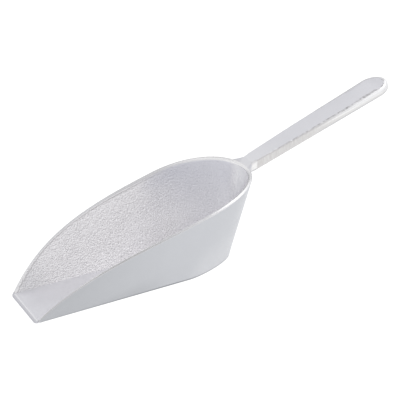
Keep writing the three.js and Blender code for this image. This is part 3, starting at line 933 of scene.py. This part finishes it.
def metal(name, tint, roughness, grain_size, grain_bump, brushed=None, masks=()):
    """Cast aluminium: colour and gloss variation, a fine grain, optional brushing, and masked tones, most of
    them painted light and painted shade.
    """
    material = bpy.data.materials.new(name)
    material.use_nodes = True
    nodes = material.node_tree.nodes
    links = material.node_tree.links
    shader = nodes["Principled BSDF"]
    shader.inputs["Metallic"].default_value = 1.0

    def put(kind, **values):
        node = nodes.new(kind)
        for key, value in values.items():
            if key in node.inputs:
                node.inputs[key].default_value = value
            else:
                setattr(node, key, value)
        return node

    def blotches(size, detail, stretch=(1, 1, 1)):
        """Noise with features of that size in millimetres."""
        mapping = put("ShaderNodeMapping")
        mapping.inputs["Scale"].default_value = stretch
        links.new(place.outputs["Object"], mapping.inputs["Vector"])
        cloud = put("ShaderNodeTexNoise", Scale=1 / (size * MM), Detail=detail, Roughness=BLOTCH_ROUGHNESS)
        links.new(mapping.outputs["Vector"], cloud.inputs["Vector"])
        return cloud.outputs["Fac"]

    def spread(source, cut, low, high):
        """The source's values between the two of cut, spread from low to high."""
        remap = put("ShaderNodeMapRange")
        for key, value in zip(("From Min", "From Max", "To Min", "To Max"), (*cut, low, high)):
            remap.inputs[key].default_value = value
        links.new(source, remap.inputs["Value"])
        return remap.outputs["Result"]

    def combine(operation, a, b):
        node = put("ShaderNodeMath", operation=operation)
        links.new(a, node.inputs[0])
        if isinstance(b, float):
            node.inputs[1].default_value = b
        else:
            links.new(b, node.inputs[1])
        return node.outputs[0]

    def blend_colour(share, a, b):
        node = put("ShaderNodeMix", data_type="RGBA")
        links.new(share, node.inputs[0])
        for socket, value in ((node.inputs[6], a), (node.inputs[7], b)):
            if isinstance(value, tuple):
                socket.default_value = value
            else:
                links.new(value, socket)
        return node.outputs[2]

    place = put("ShaderNodeTexCoord")
    dark = tuple((1 - TINT_SPREAD) * c for c in tint) + (1,)
    light = tuple(min(1, (1 + TINT_SPREAD) * c) for c in tint) + (1,)
    tints = blotches(TINT_BLOTCH, TINT_DETAIL)
    glosses = blotches(GLOSS_BLOTCH, GLOSS_DETAIL)
    grain = blotches(grain_size, GRAIN_DETAIL)
    colour = blend_colour(spread(tints, TINT_CUT, 0, 1), dark, light)
    gloss = spread(glosses, GLOSS_CUT, roughness - GLOSS_SPREAD, roughness + GLOSS_SPREAD)
    height = spread(grain, GRAIN_CUT, 0, grain_bump)
    if brushed:
        strokes = blotches(brushed["size"], GRAIN_DETAIL, brushed["stretch"])
        height = combine("ADD", height, spread(strokes, BRUSHED_CUT, 0, brushed["bump"]))
        gloss = combine("ADD", gloss, spread(strokes, BRUSHED_CUT, -BRUSHED_GLOSS, BRUSHED_GLOSS))
    for mask in masks:
        marks = put("ShaderNodeAttribute", attribute_name=mask["name"])
        share = marks.outputs["Fac"]
        if "pattern" in mask:
            pattern = blotches(mask["pattern"], GRAIN_DETAIL, mask.get("stretch", (1, 1, 1)))
            share = combine("MULTIPLY", share, spread(pattern, mask["cut"], 0, 1))
        colour = blend_colour(share, colour, mask["tint"] + (1,))
        change = combine("MULTIPLY", share, mask["roughness"])
        gloss = combine("ADD", gloss, change)
        if "bump" in mask:
            height = combine("ADD", height, combine("MULTIPLY", share, mask["bump"]))
    links.new(colour, shader.inputs["Base Color"])
    links.new(gloss, shader.inputs["Roughness"])
    bump = put("ShaderNodeBump", Strength=1.0, Distance=MM)
    links.new(height, bump.inputs["Height"])
    links.new(bump.outputs["Normal"], shader.inputs["Normal"])
    return material


METALS = {
    "pebbled_cast": metal(
        "pebbled_cast",
        tint=(0.985, 0.975, 0.98),
        roughness=0.40,
        grain_size=0.45,
        grain_bump=0.03,
        masks=[
            # Darker grain hollows: partly dirt in the pits, partly painted shade.
            {"name": "pits", "tint": (0.80, 0.785, 0.79), "roughness": 0.05},
            # Painted shade deep in the back of the bowl.
            {"name": "deep", "tint": (0.62, 0.625, 0.68), "roughness": 0.0},
            # Painted light at the back end of the bowl, which is also rougher.
            {"name": "back_end", "tint": (0.965, 0.98, 0.995), "roughness": 0.35},
            # Painted shade just under the rim at the back.
            {"name": "shoulder", "tint": (0.86, 0.86, 0.87), "roughness": 0.0},
            # The outer face: partly its duller cast finish, partly painted shade.
            {"name": "outside", "tint": (0.525, 0.535, 0.56), "roughness": 0.0},
            {"name": "front_shade", "tint": (0.43, 0.44, 0.46), "roughness": 0.0},
            {"name": "rim", "tint": (0.70, 0.70, 0.71), "roughness": -0.10},
            # Painted highlight on the rim.
            {"name": "rim_bright", "tint": (0.93, 0.925, 0.92), "roughness": -0.15},
            # Painted shade along the rim's edges and in the crease under it.
            {"name": "rim_dark", "tint": (0.46, 0.455, 0.455), "roughness": -0.05},
        ],
    ),
    "smooth_cast": metal(
        "smooth_cast",
        tint=(0.72, 0.72, 0.745),
        roughness=0.34,
        grain_size=0.5,
        grain_bump=0.006,
        brushed={"size": 0.8, "stretch": (0.06, 1, 1), "bump": 0.012},
        masks=[
            # Painted shade on the floor's outer side.
            {"name": "outside", "tint": (0.27, 0.28, 0.30), "roughness": 0.0},
            {"name": "front_shade", "tint": (0.40, 0.41, 0.43), "roughness": 0.0},
            # Painted light on the floor beside the right wall.
            {"name": "wall_side", "tint": (0.81, 0.81, 0.835), "roughness": 0.0},
            # Painted highlight line along the lip's bevel.
            {"name": "lip_line", "tint": (0.86, 0.86, 0.87), "roughness": -0.1},
            # Painted shade on the lip's rounded front.
            {"name": "lip_front", "tint": (0.56, 0.56, 0.59), "roughness": 0.0},
        ],
    ),
    "ground_cast": metal(
        "ground_cast",
        tint=(0.70, 0.70, 0.725),
        roughness=0.33,
        grain_size=0.5,
        grain_bump=0.008,
        masks=[
            # Painted light on the neck near the bowl.
            {"name": "root", "tint": (0.79, 0.79, 0.805), "roughness": 0.05},
            # Painted shade on the handle, growing towards the tip.
            {"name": "worn_tip", "tint": (0.605, 0.605, 0.63), "roughness": 0.0},
            {"name": "side", "tint": (0.64, 0.635, 0.63), "roughness": 0.05},
            # The turned-over upper edge: polished, with a painted highlight.
            {"name": "polished", "tint": (0.97, 0.97, 0.97), "roughness": -0.12},
            {
                "name": "ground",
                "tint": (0.60, 0.585, 0.58),
                "roughness": 0.15,
                "pattern": 0.6,
                "stretch": (1, 1, 0.12),
                "cut": (0.35, 0.65),
                "bump": 0.05,
            },
            # Painted highlight on the neck's side face next to the bowl.
            {"name": "facet", "tint": (0.78, 0.775, 0.77), "roughness": 0.0},
            # Painted shade on the handle's lower edge.
            {"name": "low_edge", "tint": (0.56, 0.56, 0.57), "roughness": 0.1},
            # Painted shade along the upper edge towards the tip.
            {"name": "soft_edge", "tint": (0.58, 0.58, 0.59), "roughness": 0.0},
            {
                "name": "broken_edge",
                "tint": (0.36, 0.355, 0.36),
                "roughness": 0.2,
                "pattern": 2.6,
                "cut": (0.40, 0.62),
            },
        ],
    ),
}

make_piece("scoop_floor", *floor_plate(), "smooth_cast", ["bowl_floor"])
make_piece("right_wall", *side_wall(1), "pebbled_cast", ["right_side_wall"])
make_piece("left_wall", *side_wall(-1), "pebbled_cast", ["left_side_wall"])
make_piece("rear_wall", *back_wall(), "pebbled_cast", ["back_wall"])
make_piece("neck", *neck_body(), "ground_cast", ["handle_neck"])
make_piece("grip", *grip_plate(), "ground_cast", ["handle_grip"])

# ---- stage ----
STAGE_SIZE = 30.0
STAGE_BELOW = 0.0001
PAPER_GREY = 0.2
PAPER_GLOW = 1.0
PAPER_ROUGHNESS = 0.9

half_stage = STAGE_SIZE / 2
corners = [(x * half_stage, y * half_stage, 0) for x, y in [(-1, -1), (1, -1), (1, 1), (-1, 1)]]
stage_mesh = bpy.data.meshes.new("stage_floor")
stage_mesh.from_pydata(corners, [], [(0, 1, 2, 3)])
stage = bpy.data.objects.new("stage_floor", stage_mesh)
stage.location.z = -STAGE_BELOW
bpy.context.collection.objects.link(stage)
paper = bpy.data.materials.new("white_paper")
paper.use_nodes = True
paper_inputs = paper.node_tree.nodes["Principled BSDF"].inputs
paper_inputs["Base Color"].default_value = (PAPER_GREY, PAPER_GREY, PAPER_GREY, 1)
paper_inputs["Roughness"].default_value = PAPER_ROUGHNESS
paper_inputs["Specular IOR Level"].default_value = 0.0
paper_inputs["Emission Color"].default_value = (1, 1, 1, 1)
paper_inputs["Emission Strength"].default_value = PAPER_GLOW
stage_mesh.materials.append(paper)

# ---- light ----
DOME_STRENGTH = 1.0
DOME_BLUE = 1.02
# Brightness at each height of the dome, from the horizon to the top.
DOME_LEVELS = [(0.0, 0.85), (0.3, 0.85), (0.6, 0.9), (0.9, 1.0)]
# A darker round patch of the dome: its direction, its edge in degrees from there, and its brightness.
PATCH_DIRECTION = (-0.2, 0.4, 0.89)
PATCH_EDGE = (8, 18)
PATCH_LEVEL = 0.3
SOFTBOX_DIRECTION = (0.4, 0.4, 0.82)
SOFTBOX_DISTANCE = 1.6
SOFTBOX_SIZE = 0.9
SOFTBOX_LEVEL = 0.9

scene = bpy.context.scene
scene.view_settings.view_transform = "Standard"
world = bpy.data.worlds.new("studio")
scene.world = world
world.use_nodes = True
sky = world.node_tree
background = sky.nodes["Background"]
background.inputs["Strength"].default_value = DOME_STRENGTH
direction = sky.nodes.new("ShaderNodeTexCoord")
split = sky.nodes.new("ShaderNodeSeparateXYZ")
ramp = sky.nodes.new("ShaderNodeValToRGB")
sky.links.new(direction.outputs["Generated"], split.inputs["Vector"])
sky.links.new(split.outputs["Z"], ramp.inputs["Fac"])
stops = ramp.color_ramp.elements
for position, level in DOME_LEVELS[1:-1]:
    stops.new(position)
for stop, (position, level) in zip(stops, DOME_LEVELS):
    stop.position = position
    stop.color = (level, level, DOME_BLUE * level, 1)

facing = sky.nodes.new("ShaderNodeVectorMath")
facing.operation = "DOT_PRODUCT"
facing.inputs[1].default_value = Vector(PATCH_DIRECTION).normalized()
sky.links.new(direction.outputs["Generated"], facing.inputs[0])
in_patch = sky.nodes.new("ShaderNodeMapRange")
in_patch.interpolation_type = "SMOOTHSTEP"
in_patch.inputs["From Min"].default_value = math.cos(math.radians(PATCH_EDGE[1]))
in_patch.inputs["From Max"].default_value = math.cos(math.radians(PATCH_EDGE[0]))
sky.links.new(facing.outputs["Value"], in_patch.inputs["Value"])
patched = sky.nodes.new("ShaderNodeMix")
patched.data_type = "RGBA"
patched.inputs[7].default_value = (PATCH_LEVEL, PATCH_LEVEL, PATCH_LEVEL, 1)
sky.links.new(in_patch.outputs["Result"], patched.inputs[0])
sky.links.new(ramp.outputs["Color"], patched.inputs[6])
sky.links.new(patched.outputs[2], background.inputs["Color"])

softbox = bpy.data.lights.new("softbox", "AREA")
softbox.shape = "DISK"
softbox.size = SOFTBOX_SIZE
softbox.energy = SOFTBOX_LEVEL * math.pi * math.pi * (SOFTBOX_SIZE / 2) ** 2
softbox_at = bpy.data.objects.new("softbox", softbox)
toward_softbox = Vector(SOFTBOX_DIRECTION).normalized()
softbox_at.location = SOFTBOX_DISTANCE * toward_softbox
softbox_at.rotation_euler = toward_softbox.to_track_quat("Z", "Y").to_euler()
bpy.context.collection.objects.link(softbox_at)

# ---- camera ----
AZIMUTH = math.radians(-29.44)
ELEVATION = math.radians(27)
AIM_BEHIND_LIP = 0.1150
AIM_SIDE = -0.0281
AIM_HEIGHT = 0.0630
CAMERA_DISTANCE = 0.806
LENS = 112.81

aim = Vector((LIP_X * MM + AIM_BEHIND_LIP, AIM_SIDE, AIM_HEIGHT))
level = math.cos(ELEVATION)
back = Vector((math.sin(AZIMUTH) * level, -math.cos(AZIMUTH) * level, math.sin(ELEVATION)))
camera_data = bpy.data.cameras.new("camera")
camera_data.lens = LENS
camera = bpy.data.objects.new("camera", camera_data)
camera.location = aim + CAMERA_DISTANCE * back
camera.rotation_euler = back.to_track_quat("Z", "Y").to_euler()
bpy.context.collection.objects.link(camera)
scene.camera = camera
